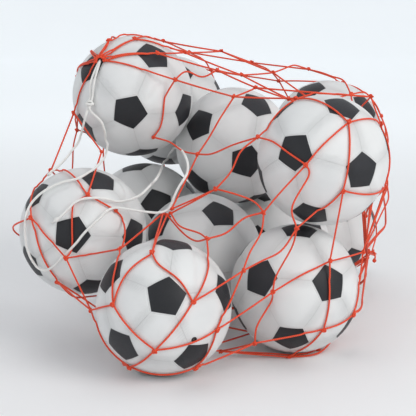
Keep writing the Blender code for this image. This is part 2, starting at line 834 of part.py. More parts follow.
def main():
    clear_scene()
    rubber = material("moulded_rubber", OFF_WHITE, 0.55)
    black = material("valve_rubber", BLACK, 0.6)
    cord = material("orange_cord", ORANGE, 0.6)
    string = material("cream_cord", CREAM, 0.75)
    make_balls(rubber, black)
    net = make_net(cord)
    make_closed_end(cord)
    make_drawstring(string, net)


main()
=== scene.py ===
"""A net ball bag: a knotted orange net with a cream drawstring, lying full of moulded
rubber footballs, on a pale studio floor."""

import math

import bmesh
import bpy
import numpy as np
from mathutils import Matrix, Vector, kdtree


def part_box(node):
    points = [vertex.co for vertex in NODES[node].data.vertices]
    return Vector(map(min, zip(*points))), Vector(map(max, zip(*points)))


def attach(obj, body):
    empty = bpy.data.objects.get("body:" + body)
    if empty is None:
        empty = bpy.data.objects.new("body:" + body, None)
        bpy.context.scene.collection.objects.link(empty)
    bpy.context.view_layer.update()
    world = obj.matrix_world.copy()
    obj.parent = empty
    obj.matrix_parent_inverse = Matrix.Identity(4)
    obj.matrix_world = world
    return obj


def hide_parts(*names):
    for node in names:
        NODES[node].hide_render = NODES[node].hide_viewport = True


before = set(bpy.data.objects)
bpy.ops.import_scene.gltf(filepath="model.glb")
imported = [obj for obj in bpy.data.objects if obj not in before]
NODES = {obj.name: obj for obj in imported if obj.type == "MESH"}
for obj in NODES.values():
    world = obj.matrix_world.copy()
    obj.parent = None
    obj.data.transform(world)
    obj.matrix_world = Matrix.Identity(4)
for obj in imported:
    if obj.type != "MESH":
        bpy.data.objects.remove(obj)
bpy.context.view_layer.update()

MM = 0.001

# ---- Camera, and the front elevation that it sees ----------------------------
EYE = Vector((-0.009, -2.338, 0.664))
EYE_DOWN = math.radians(11)
LENS_MM, SENSOR_MM = 112.5, 36
PLANE_AWAY = 2.443  # the elevation's plane, in front of the eye
RIGHT = Vector((1, 0, 0))
LOOK = Vector((0, math.cos(EYE_DOWN), -math.sin(EYE_DOWN)))
UP = Vector((0, math.sin(EYE_DOWN), math.cos(EYE_DOWN)))

# ---- Balls: sizes in mm, angles in degrees -----------------------------------
BALL_NAMES = "abcdefghijklm"
BALL_DETAIL = 6
PATCH_INRADIUS = 27.2
GROOVE_OUT = 1.6  # the groove round a patch, outside its paint
HALF_SIDE = math.radians(36)  # half the angle that one side of a patch takes up
RIB_WAVE = 2.85  # radians a mm, across the fine ribs beside a seam
BRIGHT_WHITE, DULL_WHITE = (0.775, 0.785, 0.78, 1), (0.71, 0.72, 0.72, 1)
DARK_CHARCOAL, LIGHT_CHARCOAL = (0.013, 0.014, 0.017, 1), (0.024, 0.025, 0.030, 1)
# grey painted into the grooves round the patches and along the seams: painted shade in the recesses
GROOVE_SHADE_GREY = (0.55, 0.55, 0.54, 1)
CORD_PRESS = 0.9  # how far a cord sinks a slack ball's skin
CORD_PRESS_WIDTH = 5.0

# how each ball lies: azimuth and elevation that its foremost patch faces, and roll
LIE = {
    "a": (-90, -9, 47), "b": (-121, -2, 40), "c": (-79, -8, 54), "d": (-121, 15, 44),
    "e": (-100, 5, 19), "f": (-95, 9, 51), "g": (-74, 26, 12), "h": (-97, -3, 48),
    "i": (-86, 24, 62), "j": (-61, 17, 3), "k": (-5.5, 10.4, 58), "l": (-112, 17, 2),
    "m": (-95, 40, 20),
}
# creases in slack skins: points by azimuth and elevation, then width and depth in mm
CREASES = {
    "a": [([(-66, 24), (-58, 17), (-63, 13), (-71, 3)], 5.0, 1.6)],
    "f": [
        ([(-11, 60), (-11, 49), (-23, 40), (-38, 33)], 5.0, 1.8),
        ([(-128, 31), (-130, 42), (-122, 49), (-112, 54)], 5.5, 1.8),
        ([(-117, 20), (-107, 24), (-99, 32)], 4.5, 1.8),
        ([(-74, 41), (-72, 38)], 4.0, 1.6),
        ([(-73, 23), (-65, 27), (-57, 29)], 4.0, 1.2),
    ],
    "i": [([(-16, 63), (-51, 36), (-59, 25)], 5.0, 1.6)],
    "j": [([(-66, 51), (-57, 38)], 5.0, 1.4)],
}
# broad shallow hollows: azimuth, elevation, radius and depth in mm
HOLLOWS = {
    "a": [(-60, 22, 24, 1.8), (-75, -30, 30, 1.5)],
    "d": [(-65, -20, 34, 1.5)],
    "f": [(-105, 34, 30, 3.0), (-80, 30, 22, 2.2), (-60, 35, 22, 2.0)],
    "i": [(-45, 35, 26, 2.0)],
    "j": [(-62, 44, 26, 2.0), (-95, 55, 22, 1.5)],
}

# ---- Cords: sizes in metres ---------------------------------------------------
CORD_R = 0.0015
STRING_R = 0.0021
CORD_SIDES = 8
CORD_STEP = 0.003
LIE_CLOSE = 0.0034  # a cord this near a skin lies on it
CLEAR = 0.0001
KNOT_SIZE = 0.0012
KNOT_LIFT = 0.0012
ROW_NAMES = [f"net_row_{k:02d}" for k in range(1, 10)]
BAR_STEPS = [4] * 8 + [7]  # straight lengths of a bar in each row's solid

# slack bars on the elevation, in mm right and up: a knot, the bends, the next knot
SLACK = [
    [(-62, 241), (-41, 257), (-11, 246), (17, 259)],
    [(94, 133), (113, 152), (165, 205)],
    [(15, 36), (43, 68), (62, 107), (94, 133)],
    [(15, 36), (58, 24), (88, 11), (105, -8)],
    [(-2, -58), (34, -47), (68, -19), (105, -8)],
    [(184, 81), (190, 62), (158, 2), (167, -38)],
    [(105, -8), (133, 26), (184, 81)],
    [(167, -38), (207, -4), (254, 32)],
    [(167, -38), (158, -73), (128, -128), (122, -158)],
    [(122, -158), (118, -177), (92, -222), (88, -254)],
    [(66, -118), (43, -173), (21, -218), (17, -229)],
    [(-105, -85), (-92, -107), (-53, -137), (-28, -177)],
    [(-2, -58), (0, -98), (-11, -148), (-28, -177)],
    [(-105, -85), (-152, -122), (-179, -182)],
    [(-267, -94), (-297, -60), (-327, -19)],
    [(-71, -9), (-53, -34), (-17, -47), (-2, -58)],
    [(-77, -12), (-47, -47), (-23, -62), (-2, -58)],
    [(-102, 133), (-89, 154), (-82, 204), (-62, 241)],
    [(-102, 133), (-72, 124), (-47, 107), (-19, 101)],
    [(-19, 101), (8, 102), (48, 119), (94, 133)],
    [(-19, 101), (3, 134), (23, 169), (49, 209)],
    [(94, 133), (123, 124), (158, 99), (184, 81)],
    [(184, 81), (207, 109), (227, 129), (265, 162)],
    [(66, -118), (100, -100), (138, -80), (167, -38)],
    [(66, -118), (78, -85), (100, -45), (105, -8)],
    [(122, -158), (172, -128), (229, -100)],
    [(-100, -269), (-42, -257), (17, -229)],
    [(-179, -182), (-141, -233), (-100, -269)],
    [(-165, -77), (-172, -105), (-179, -140), (-179, -182)],
    [(-267, -94), (-226, -88), (-165, -77)],
    [(-327, -19), (-321, -60), (-301, -110), (-282, -137)],
    [(-226, 24), (-251, 9), (-255, -5), (-255, -73), (-267, -94)],
    [(-226, 24), (-214, 18), (-194, 7), (-173, -4)],
    [(-173, -4), (-160, -23), (-156, -46), (-160, -69), (-165, -77)],
]


# ---- Small geometry helpers ------------------------------------------------------
def heading(azimuth, elevation):
    a, e = math.radians(azimuth), math.radians(elevation)
    return np.array([math.cos(e) * math.cos(a), math.cos(e) * math.sin(a), math.sin(e)])


def unit(v):
    return v / np.maximum(np.linalg.norm(v, axis=-1, keepdims=True), 1e-12)


def ball_of(name):
    """A ball's centre and radius, from its CAD casing."""
    low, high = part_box(f"ball_{name}_casing")
    radius = (high[0] - low[0]) / 2
    return np.array([(low[0] + high[0]) / 2, (low[1] + high[1]) / 2, high[2] - radius]), radius


BALLS = {name: ball_of(name) for name in BALL_NAMES}
CENTRES = np.array([centre for centre, _ in BALLS.values()])
BALL_R = max(radius for _, radius in BALLS.values())


def sight(right, up):
    return (LOOK * PLANE_AWAY + RIGHT * right * MM + UP * up * MM).normalized()


def touch(way, reach):
    """How far along a sight line the first ball of this radius is, or None."""
    to_ball = CENTRES - np.array(EYE)
    along = to_ball @ np.array(way)
    aside = (to_ball**2).sum(1) - along**2
    hits = along - np.sqrt(np.maximum(reach**2 - aside, 0))
    hits = hits[aside < reach**2]
    return hits.min() if len(hits) else None


def on_elevation_plane(point):
    """A point as it shows on the elevation, in mm right and up."""
    away = Vector(point) - EYE
    depth = away.dot(LOOK)
    scale = PLANE_AWAY / depth / MM
    return np.array([away.dot(RIGHT) * scale, away.dot(UP) * scale])


def smooth_line(points, step):
    """A Catmull-Rom curve through the points, with points at even steps."""
    points = np.asarray(points, float)
    padded = np.vstack([2 * points[0] - points[1], points, 2 * points[-1] - points[-2]])
    dense = []
    for p0, p1, p2, p3 in zip(padded, padded[1:], padded[2:], padded[3:]):
        for t in np.linspace(0, 1, 12, endpoint=False):
            dense.append(
                0.5
                * (
                    2 * p1
                    + (p2 - p0) * t
                    + (2 * p0 - 5 * p1 + 4 * p2 - p3) * t**2
                    + (3 * p1 - p0 - 3 * p2 + p3) * t**3
                )
            )
    dense = np.array(dense + [points[-1]])
    length = np.concatenate([[0], np.cumsum(np.linalg.norm(np.diff(dense, axis=0), axis=1))])
    count = max(2, int(length[-1] / step) + 1)
    at = np.linspace(0, length[-1], count)
    return np.stack([np.interp(at, length, dense[:, k]) for k in range(3)], axis=1)


def lay_clear(line, radius):
    """Moves a cord's line out of every ball's round and off the floor."""
    reach = BALL_R + radius + CLEAR
    for centre in CENTRES:
        away = line - centre
        far = np.linalg.norm(away, axis=1)
        near = far < reach
        line[near] = centre + away[near] * (reach / far[near])[:, None]
    line[:, 2] = np.maximum(line[:, 2], radius + CLEAR)
    return line


def settle(line, radius):
    """Lays a cord's line on the skins that it nearly touches, and over the floor."""
    for _ in range(3):
        for centre in CENTRES:
            away = line - centre
            far = np.linalg.norm(away, axis=1)
            near = far < BALL_R + LIE_CLOSE
            line[near] = centre + away[near] * ((BALL_R + radius + CLEAR) / far[near])[:, None]
        line[:, 2] = np.maximum(line[:, 2], radius + CLEAR)
        line[1:-1] = (line[:-2] + 2 * line[1:-1] + line[2:]) / 4
    return lay_clear(line, radius)


# ---- Node materials -----------------------------------------------------------
class Shade:
    """A material's node tree, with short calls for its nodes."""

    def __init__(self, name):
        self.material = bpy.data.materials.new(name)
        self.material.use_nodes = True
        self.tree = self.material.node_tree
        self.skin = self.tree.nodes["Principled BSDF"]

    def put(self, socket, value):
        if isinstance(value, bpy.types.NodeSocket):
            self.tree.links.new(value, socket)
        else:
            socket.default_value = value

    def node(self, kind, **settings):
        made = self.tree.nodes.new(kind)
        for key, value in settings.items():
            setattr(made, key, value)
        return made

    def math(self, operation, a, b=0.0, clamp=False):
        made = self.node("ShaderNodeMath", operation=operation, use_clamp=clamp)
        self.put(made.inputs[0], a)
        self.put(made.inputs[1], b)
        return made.outputs[0]

    def step(self, value, low, high, start=0.0, end=1.0):
        made = self.node("ShaderNodeMapRange", interpolation_type="SMOOTHSTEP")
        self.put(made.inputs["Value"], value)
        self.put(made.inputs["From Min"], low)
        self.put(made.inputs["From Max"], high)
        self.put(made.inputs["To Min"], start)
        self.put(made.inputs["To Max"], end)
        return made.outputs["Result"]

    def noise(self, where, scale, detail=2.0):
        made = self.node("ShaderNodeTexNoise")
        self.put(made.inputs["Vector"], where)
        self.put(made.inputs["Scale"], scale)
        self.put(made.inputs["Detail"], detail)
        return made.outputs["Fac"]

    def mix(self, factor, a, b):
        made = self.node("ShaderNodeMix", data_type="RGBA")
        self.put(made.inputs["Factor"], factor)
        self.put(made.inputs["A"], a)
        self.put(made.inputs["B"], b)
        return made.outputs["Result"]

    def attribute(self, name):
        made = self.node("ShaderNodeAttribute", attribute_name=name)
        return made.outputs["Vector"]

    def times(self, a, b):
        return self.math("MULTIPLY", a, b)

    def minus(self, a, b):
        return self.math("SUBTRACT", a, b)

    def parts(self, vector):
        made = self.node("ShaderNodeSeparateXYZ")
        self.put(made.inputs[0], vector)
        return made.outputs

    def bump(self, height, distance, strength=1.0):
        made = self.node("ShaderNodeBump")
        self.put(made.inputs["Height"], height)
        self.put(made.inputs["Distance"], distance)
        self.put(made.inputs["Strength"], strength)
        self.put(self.skin.inputs["Normal"], made.outputs["Normal"])


def ball_skin():
    """Off-white moulded rubber with charcoal patches, panel grooves with painted shade in them, and a
    fine grain.
    """
    s = Shade("ball_skin")
    x, y, _ = s.parts(s.attribute("patch"))
    far = s.math("SQRT", s.math("ADD", s.times(x, x), s.times(y, y)))
    turn = s.math("PINGPONG", s.math("ARCTAN2", y, x), HALF_SIDE)
    across = s.times(far, s.math("COSINE", s.minus(HALF_SIDE, turn)))
    edge = s.minus(across, PATCH_INRADIUS)
    seam = s.times(far, s.math("SINE", turn))
    where = s.attribute("rest")
    broad = s.noise(where, 14, 3)
    fine = s.noise(where, 900, 2)
    white = s.mix(s.step(broad, 0.35, 0.75), BRIGHT_WHITE, DULL_WHITE)
    charcoal = s.mix(s.step(broad, 0.3, 0.7), DARK_CHARCOAL, LIGHT_CHARCOAL)
    outside = s.step(edge, -0.35, 0.35)
    from_groove = s.math("ABSOLUTE", s.minus(edge, GROOVE_OUT))
    in_groove = s.times(s.step(from_groove, 0.5, 1.2, 1, 0), outside)
    beyond = s.step(edge, 2.0, 3.5)
    in_seam = s.times(s.step(seam, 0.3, 0.9, 1, 0), beyond)
    grooves = s.math("ADD", in_groove, in_seam, clamp=True)
    # the grooves and seams are darkened towards grey: painted shade
    white = s.mix(s.times(grooves, 0.34), white, GROOVE_SHADE_GREY)
    s.put(s.skin.inputs["Base Color"], s.mix(outside, charcoal, white))
    s.put(s.skin.inputs["Roughness"], s.step(fine, 0.3, 0.7, 0.44, 0.58))
    s.skin.inputs["Specular IOR Level"].default_value = 0.4
    ribs = s.times(s.math("SINE", s.times(seam, RIB_WAVE)), s.step(seam, 4.0, 24.0, 1, 0))
    ribs = s.times(s.times(ribs, beyond), 0.60)
    height = s.math("ADD", s.times(fine, 0.45), ribs)
    height = s.minus(height, s.times(grooves, 1.1))
    s.bump(height, 0.0005, 0.9)
    return s.material


def valve_rubber():
    s = Shade("valve_black")
    where = s.node("ShaderNodeTexCoord").outputs["Object"]
    fine = s.noise(where, 1500, 2)
    s.put(s.skin.inputs["Base Color"], s.mix(fine, (0.014, 0.014, 0.015, 1), (0.028, 0.028, 0.030, 1)))
    s.put(s.skin.inputs["Roughness"], s.step(fine, 0.3, 0.7, 0.5, 0.65))
    s.bump(fine, 0.0001, 0.5)
    return s.material


def cord_fibre(name, dark, light, strands, lay_mm, braided):
    """A laid or braided cord: its strands follow the attribute lay, angle and mm along, with painted
    shade between the strands.
    """
    s = Shade(name)
    angle, along, _ = s.parts(s.attribute("lay"))
    turn = s.math("MULTIPLY", angle, float(strands))
    run = s.math("MULTIPLY", along, strands * 2 * math.pi / lay_mm)
    one_way = s.math("SINE", s.math("ADD", turn, run))
    if braided:
        other = s.math("SINE", s.math("SUBTRACT", turn, run))
        bulge = s.math("MAXIMUM", one_way, other)
    else:
        bulge = one_way
    where = s.node("ShaderNodeTexCoord").outputs["Object"]
    fuzz = s.noise(where, 1800, 3)
    patchy = s.noise(where, 30, 2)
    # the strand tops take the lit colour and the gaps between strands the shaded one: painted light and
    # shade
    raised = s.step(bulge, -0.9, 0.6)
    colour = s.mix(raised, dark, light)
    colour = s.mix(s.step(patchy, 0.4, 0.75, 0.0, 0.25), colour, dark)
    s.put(s.skin.inputs["Base Color"], colour)
    s.put(s.skin.inputs["Roughness"], s.step(fuzz, 0.3, 0.7, 0.55, 0.75))
    s.skin.inputs["Sheen Weight"].default_value = 0.06
    s.skin.inputs["Sheen Roughness"].default_value = 0.5
    s.bump(s.math("ADD", s.math("MULTIPLY", raised, 0.8), s.math("MULTIPLY", fuzz, 0.3)), 0.0006, 0.9)
    return s.material


def floor_paint():
    s = Shade("studio_floor")
    where = s.node("ShaderNodeNewGeometry").outputs["Position"]
    _, y, _ = s.parts(where)
    broad = s.noise(where, 1.4, 2)
    fine = s.noise(where, 60, 3)
    # further back the floor and backdrop are painted paler and bluer: painted light
    far = s.step(y, 0.3, 3.2)
    colour = s.mix(far, (0.90, 0.90, 0.905, 1), (0.93, 0.955, 0.97, 1))
    colour = s.mix(s.math("MULTIPLY", s.step(broad, 0.45, 0.8), 0.08), colour, (0.72, 0.73, 0.75, 1))
    # the far floor and backdrop glow though they are no lamp: painted light
    s.put(s.skin.inputs["Emission Color"], (0.90, 0.955, 0.985, 1))
    s.put(s.skin.inputs["Emission Strength"], s.math("MULTIPLY", far, 0.24))
    s.put(s.skin.inputs["Base Color"], colour)
    s.put(s.skin.inputs["Roughness"], s.step(fine, 0.3, 0.7, 0.55, 0.7))
    s.bump(fine, 0.0004, 0.2)
    return s.material


# ---- Pieces ----------------------------------------------------------------------
def add(name, mesh, made_of, body, slot, *nodes):
    for polygon in mesh.polygons:
        polygon.use_smooth = True
    mesh.materials.append(made_of)
    piece = bpy.data.objects.new(name, mesh)
    bpy.context.scene.collection.objects.link(piece)
    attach(piece, body)
    if nodes:
        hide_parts(*nodes)
    return piece


class Sweep:
    """Round cords gathered into one mesh, each with its lay along it."""

    def __init__(self):
        self.points, self.faces, self.lay = [], [], []

    def add(self, line, radius, sides=CORD_SIDES, closed=False):
        line = lay_clear(np.array(line, float), radius)
        count = len(line)
        if closed:
            tangents = unit(np.roll(line, -1, 0) - np.roll(line, 1, 0))
        else:
            tangents = unit(np.gradient(line, axis=0))
        side = np.cross(tangents[0], (0.3, 0.2, 0.93))
        side = unit(side if np.linalg.norm(side) > 1e-3 else np.cross(tangents[0], (1, 0, 0)))
        sides_at = [side]
        for k in range(1, count):
            side = sides_at[-1] - tangents[k] * (sides_at[-1] @ tangents[k])
            sides_at.append(unit(side))
        sides_at = np.array(sides_at)
        across = np.cross(tangents, sides_at)
        run = np.concatenate([[0], np.cumsum(np.linalg.norm(np.diff(line, axis=0), axis=1))]) / MM
        angles = 2 * np.pi * np.arange(sides) / sides
        ring = (
            np.cos(angles)[None, :, None] * sides_at[:, None]
            + np.sin(angles)[None, :, None] * across[:, None]
        )
        base = sum(len(p) for p in self.points)
        self.points.append((line[:, None] + ring * radius).reshape(-1, 3))
        turn = 2 * np.pi / sides
        last = count if closed else count - 1
        for k in range(last):
            n = (k + 1) % count
            end = run[n] if n else run[-1] + 1.0
            for j in range(sides):
                m = (j + 1) % sides
                here, there = base + k * sides, base + n * sides
                self.faces.append((here + j, here + m, there + m, there + j))
                self.lay += [
                    (j * turn, run[k], 0), ((j + 1) * turn, run[k], 0),
                    ((j + 1) * turn, end, 0), (j * turn, end, 0),
                ]
        if not closed:
            self.faces.append(tuple(base + j for j in range(sides))[::-1])
            self.lay += [(j * turn, 0, 0) for j in range(sides)][::-1]
            top = base + (count - 1) * sides
            self.faces.append(tuple(top + j for j in range(sides)))
            self.lay += [(j * turn, run[-1], 0) for j in range(sides)]

    def mesh(self, name):
        made = bpy.data.meshes.new(name)
        made.from_pydata(np.vstack(self.points).tolist(), [], self.faces)
        lay = made.attributes.new("lay", "FLOAT_VECTOR", "CORNER")
        lay.data.foreach_set("vector", np.array(self.lay, np.float32).ravel())
        bm = bmesh.new()
        bm.from_mesh(made)
        bmesh.ops.recalc_face_normals(bm, faces=bm.faces[:])
        bm.to_mesh(made)
        bm.free()
        return made


def tied_knot(sweep, centre, outward, along, size, radius):
    """A cord's knot: a three-lobed tuck, flat against what it lies on."""
    outward = unit(np.asarray(outward, float))
    along = np.asarray(along, float) - outward * (np.asarray(along, float) @ outward)
    along = unit(along) if np.linalg.norm(along) > 1e-6 else unit(np.cross(outward, (1, 0, 0)))
    across = np.cross(outward, along)
    turns = np.linspace(0, 2 * np.pi, 26, endpoint=False)
    reach = 2.1 + np.cos(3 * turns)
    line = (
        centre
        + size * np.outer(reach * np.cos(2 * turns), along)
        + size * np.outer(reach * np.sin(2 * turns) * 0.85, across)
        + size * 1.2 * np.outer(np.sin(3 * turns), outward)
    )
    sweep.add(line, radius, sides=7, closed=True)


# ---- The net, read from the CAD's plain cords -----------------------------------
def line_of(node, ring_edge):
    """The centre line of a CAD cord: its rings' middles, in order along it."""
    mesh = NODES[node].data
    where = np.empty(len(mesh.vertices) * 3, np.float32)
    mesh.vertices.foreach_get("co", where)
    _, first, same = np.unique(
        np.round(where.reshape(-1, 3), 6), axis=0, return_index=True, return_inverse=True
    )
    where = where.reshape(-1, 3)[first]
    same = same.reshape(-1)
    edges = {tuple(sorted((int(same[a]), int(same[b])))) for a, b in (e.vertices for e in mesh.edges)}
    group = list(range(len(where)))

    def head(k):
        while group[k] != k:
            group[k] = group[group[k]]
            k = group[k]
        return k

    for a, b in sorted(edges):
        if a != b and np.linalg.norm(where[a] - where[b]) < ring_edge:
            group[head(a)] = head(b)
    heads = sorted({head(k) for k in range(len(where))})
    members = {h: [k for k in range(len(where)) if head(k) == h] for h in heads}
    middle = {h: where[m].mean(0) for h, m in members.items()}
    beside = {h: set() for h in heads}
    for a, b in edges:
        a, b = head(a), head(b)
        if a != b:
            beside[a].add(b)
            beside[b].add(a)
    ends = [h for h in heads if len(beside[h]) == 1]
    order = [ends[0] if ends else heads[0]]
    left = set(heads) - set(order)
    while True:
        following = sorted(beside[order[-1]] & left)
        if not following:
            break
        order.append(following[0])
        left.remove(following[0])
    return np.array([middle[h] for h in order]), left


def rows_of_bars():
    """Each row's bars, as lists of points, turned so that they start at a tip."""
    rows = []
    for name, steps in zip(ROW_NAMES, BAR_STEPS):
        line, left = line_of(name, 0.0031)
        if left or len(line) != 26 * steps:
            print(f"{name}: {len(line)} points in its line, {len(left)} left over")
        into = unit(line - np.roll(line, 1, 0))
        out = unit(np.roll(line, -1, 0) - line)
        bend = 1 - (into * out).sum(1)
        start = max(range(steps), key=lambda k: bend[k::steps].sum())
        line = np.roll(line, -start, 0)
        bars = [
            np.array([line[(k * steps + j) % len(line)] for j in range(steps + 1)])
            for k in range(26)
        ]
        rows.append(bars)
    return rows


def knots_between(rows):
    """The facing tips of neighbouring rows, in pairs, with the middle of each."""
    tips = [np.array([bar[0] for bar in bars]) for bars in rows]
    knots = []
    for above, below in zip(tips, tips[1:]):
        pairs = []
        for i, tip in enumerate(above):
            gaps = np.linalg.norm(below - tip, axis=1)
            j = int(gaps.argmin())
            if gaps[j] < 0.0075:
                pairs.append((i, j, (tip + below[j]) / 2))
        knots.append(pairs)
    return knots


def slack_line(bar):
    """The bends that the elevation gives for this bar, or None."""
    ends = np.array([on_elevation_plane(bar[0]), on_elevation_plane(bar[-1])])
    for route in SLACK:
        given = np.array([route[0], route[-1]], float)
        for points, known in ((route, given), (route[::-1], given[::-1])):
            if np.linalg.norm(ends - known, axis=1).max() < 6.5:
                return points
    return None


def bar_line(bar):
    """A bar's smooth line, drawn tight or with the slack that the elevation shows."""
    route = slack_line(bar)
    if route is None:
        return settle(smooth_line(bar, CORD_STEP), CORD_R)
    first = (Vector(bar[0]) - EYE).length
    last = (Vector(bar[-1]) - EYE).length
    points = [bar[0]]
    for k, (right, up) in enumerate(route[1:-1], 1):
        way = sight(right, up)
        share = k / (len(route) - 1)
        chord = first * (1 - share) + last * share
        on_skin = touch(way, BALL_R + CORD_R)
        if on_skin is None or on_skin > chord + 0.03:
            on_skin = chord
        points.append(np.array(EYE + way * on_skin))
    points.append(bar[-1])
    return settle(smooth_line(points, CORD_STEP), CORD_R)


def outward_at(point):
    away = point - CENTRES
    return away[np.linalg.norm(away, axis=1).argmin()]


def make_net(cord):
    """The net's rows, with their knots, and the lines of all their cords."""
    rows = rows_of_bars()
    knots = knots_between(rows)
    moved = [dict() for _ in rows]
    for k, pairs in enumerate(knots):
        for i, j, middle in pairs:
            moved[k][i] = middle
            moved[k + 1][j] = middle
    lines = []
    for k, bars in enumerate(rows):
        sweep = Sweep()
        for i, bar in enumerate(bars):
            bar = bar.copy()
            bar[0] = moved[k].get(i, bar[0])
            bar[-1] = moved[k].get((i + 1) % len(bars), bar[-1])
            line = bar_line(bar)
            sweep.add(line, CORD_R)
            lines.append(line)
        if k == 0:
            for i, bar in enumerate(bars):
                if i not in moved[0]:
                    away = outward_at(bar[0])
                    tied_knot(sweep, bar[0], away, bar[1] - bar[0], KNOT_SIZE * 0.85, CORD_R)
        if k < len(knots):
            for i, _, middle in knots[k]:
                away = outward_at(middle)
                run = bars[i][1] - bars[i - 1][-2]
                tied_knot(sweep, middle + unit(away) * KNOT_LIFT, away, run, KNOT_SIZE, CORD_R)
        name = ROW_NAMES[k]
        add(f"{name}_cord", sweep.mesh(name), cord, "net", "net_cord", name)
    return lines


def make_closed_end(cord):
    """The closing tie, wound twice round the last loops, and its knotted tail."""
    low, high = (np.array(corner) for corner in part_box("net_closing_tie"))
    centre = (low + high) / 2
    out = unit(np.array([0.93, 0.0, 0.36]))
    side = np.array([0, -1.0, 0])
    above = np.cross(out, side)
    turns = np.linspace(0, 4 * np.pi, 50)
    reach = 0.0062
    coil = (
        centre
        + np.outer(np.cos(turns), side) * reach
        + np.outer(np.sin(turns), above) * reach
        + np.outer((turns / (4 * np.pi) - 0.5) * 0.0034, out)
    )
    sweep = Sweep()
    sweep.add(coil, CORD_R)
    tied_knot(sweep, centre + out * 0.0045, out, side, KNOT_SIZE * 1.1, CORD_R)
    tie = sweep.mesh("net_closing_tie")
    add("net_closing_tie_cord", tie, cord, "net", "net_cord", "net_closing_tie")
    tail, _ = line_of("net_tail", 0.0031)
    sweep = Sweep()
    sweep.add(smooth_line(tail, 0.0015), CORD_R)
    low_end = tail[tail[:, 2].argmin()]
    tied_knot(sweep, low_end + (0, 0, 0.004), (0, -1, 0), (0, 0, 1), KNOT_SIZE * 0.8, CORD_R)
    add("net_tail_cord", sweep.mesh("net_tail"), cord, "net", "net_cord", "net_tail")


# ---- Drawstring --------------------------------------------------------------------
def frayed_end(sweep, tip, inward):
    """A small stopper knot with a few loose threads past it."""
    tied_knot(sweep, tip + inward * 0.006, outward_at(tip), inward, 0.0011, 0.0016)
    for k in range(5):
        a = 2 * math.pi * k / 5
        spread = unit(np.cross(inward, (0.2, 0.3, 0.9))) * math.cos(a)
        spread += unit(np.cross(inward, np.cross(inward, (0.2, 0.3, 0.9)))) * math.sin(a)
        end = tip - inward * 0.004 + spread * 0.0016
        sweep.add(smooth_line([tip + inward * 0.004, tip, end], 0.0015), 0.0005, sides=5)


def make_drawstring(string):
    line, _ = line_of("drawstring", 0.0044)
    smooth = smooth_line(line, CORD_STEP)
    sweep = Sweep()
    sweep.add(smooth, STRING_R, sides=10)
    mesh = sweep.mesh("drawstring")
    piece = add("drawstring_cord", mesh, string, "net", "drawstring_cord", "drawstring")
    ends = Sweep()
    frayed_end(ends, smooth[0], unit(smooth[3] - smooth[0]))
    frayed_end(ends, smooth[-1], unit(smooth[-4] - smooth[-1]))
    mesh = ends.mesh("drawstring_ends")
    tassels = add("drawstring_ends", mesh, string, "net", "drawstring_cord")
    low, high = (np.array(corner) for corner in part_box("drawstring_knot"))
    centre = (low + high) / 2
    knot = Sweep()
    near = smooth[np.linalg.norm(smooth - centre, axis=1).argsort()[:6]]
    along = unit(near[-1] - near[0])
    outward = outward_at(centre)
    tied_knot(knot, centre, outward, along, 0.0021, STRING_R)
    wrap = np.linspace(0, 2 * np.pi, 24, endpoint=False)
    aside = unit(np.cross(along, unit(outward)))
    ring = centre + 0.0058 * (np.outer(np.cos(wrap), aside) + np.outer(np.sin(wrap), unit(outward)))
    knot.add(ring, STRING_R, sides=9, closed=True)
    mesh = knot.mesh("drawstring_knot")
    tied = add(
        "drawstring_knot_cord", mesh, string, "net", "drawstring_cord", "drawstring_knot"
    )


# ---- Balls ---------------------------------------------------------------------------
def lie_of(name):
    """A ball's own axes: Z through its foremost patch, X towards a corner of it."""
    azimuth, elevation, roll = LIE[name]
    z = heading(azimuth, elevation)
    up = unit(np.array([0, 0, 1.0]) - z * z[2])
    a = math.radians(roll)
    x = up * math.cos(a) + np.cross(z, up) * math.sin(a)
    return np.stack([x, np.cross(z, x), z])


def patch_frames():
    """The twelve patches' axes on a ball: Z through the patch, X towards a corner."""
    apart = math.degrees(math.atan(2))
    centres = [np.array([0, 0, 1.0])]
    centres += [heading(72 * k, 90 - apart) for k in range(5)]
    centres += [-c for c in centres]
    frames = []
    for c in centres:
        beside = max(centres, key=lambda other: other @ c if other @ c < 0.9 else -1)
        x = unit(beside - c * (beside @ c))
        frames.append(np.stack([x, np.cross(c, x), c]))
    return frames


def sunk(ways, name, radius):
    """How far in each point of a ball's skin lies, in mm: hollows and creases."""
    deep = np.zeros(len(ways))
    for azimuth, elevation, wide, depth in HOLLOWS.get(name, []):
        gap = np.arccos(np.clip(ways @ heading(azimuth, elevation), -1, 1)) * radius / MM
        deep += depth * np.exp(-((gap / wide) ** 2) * 1.6)
    for route, wide, depth in CREASES.get(name, []):
        line = unit(smooth_line([heading(a, e) for a, e in route], 0.02))
        gap = np.full(len(ways), 1e9)
        for point in line:
            gap = np.minimum(gap, np.linalg.norm(ways - point, axis=1) * radius / MM)
        deep += depth * np.exp(-((gap / wide) ** 2))
        deep -= 0.4 * depth * np.exp(-(((gap - 1.9 * wide) / wide) ** 2))
    slack = np.sin(ways @ np.array([3.1, 1.3, 2.2]) + len(name))
    slack *= np.sin(ways @ np.array([-1.7, 2.9, 1.1]))
    return np.maximum(deep + 0.25 + 0.25 * slack, 0)


